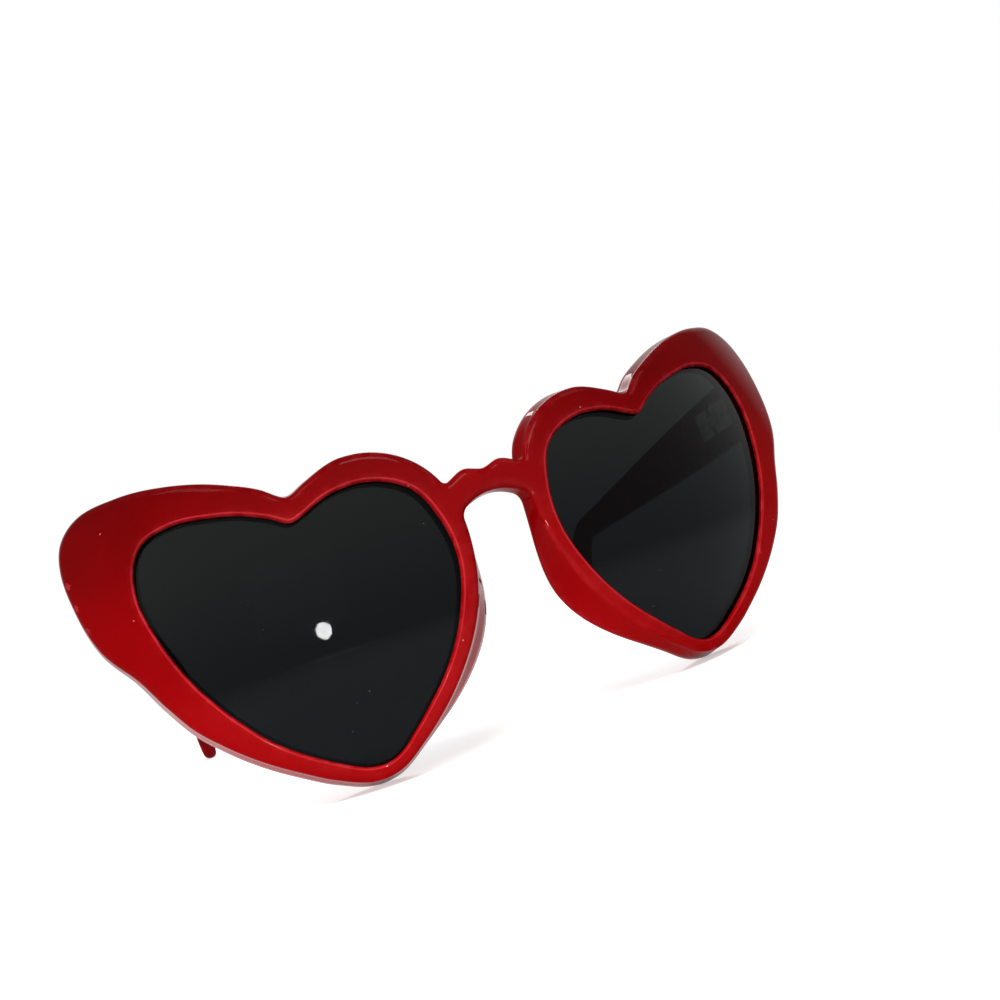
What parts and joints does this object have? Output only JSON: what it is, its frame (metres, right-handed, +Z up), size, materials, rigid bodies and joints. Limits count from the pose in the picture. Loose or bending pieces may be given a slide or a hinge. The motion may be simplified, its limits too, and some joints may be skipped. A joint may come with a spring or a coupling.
{
  "type": "heart shaped sunglasses",
  "caption": "Heart shaped sunglasses with a glossy red moulded wraparound front, dark tinted lenses and folding temples on metal hinges.",
  "frame": {"origin": "bottom centre of the box round the open glasses, on the surface they stand on", "axes": "+X to the wearer's left, +Y back along the open temples, +Z up"},
  "size_m": [0.146, 0.191, 0.0621],
  "materials": {
    "red_plastic": "deep polished red plastic with a faint pearl",
    "smoke_lens": "dark smoke tint, polished",
    "hinge_metal": "plated, lightly brushed"
  },
  "bodies": {
    "front": {"front_frame": "red_plastic", "left_lens": "smoke_lens", "right_lens": "smoke_lens", "left_front_leaf": "hinge_metal", "right_front_leaf": "hinge_metal", "left_hinge_screw": "hinge_metal", "right_hinge_screw": "hinge_metal", "left_front_leaf_screws": "hinge_metal", "right_front_leaf_screws": "hinge_metal"},
    "left_arm": {"left_temple": "red_plastic", "left_temple_leaf": "hinge_metal", "left_temple_leaf_screws": "hinge_metal"},
    "right_arm": {"right_temple": "red_plastic", "right_temple_leaf": "hinge_metal", "right_temple_leaf_screws": "hinge_metal"}
  },
  "joints": [
    {"name": "left_hinge", "type": "hinge", "parent": "front", "child": "left_arm", "pos_m": [0.06545, -0.0522, 0.04264], "axis": [0, 0.0656, 0.9978], "range_deg": [0, 87.5]},
    {"name": "right_hinge", "type": "hinge", "parent": "front", "child": "right_arm", "pos_m": [-0.06545, -0.0522, 0.04264], "axis": [0, -0.0656, -0.9978], "range_deg": [0, 93]}
  ]
}
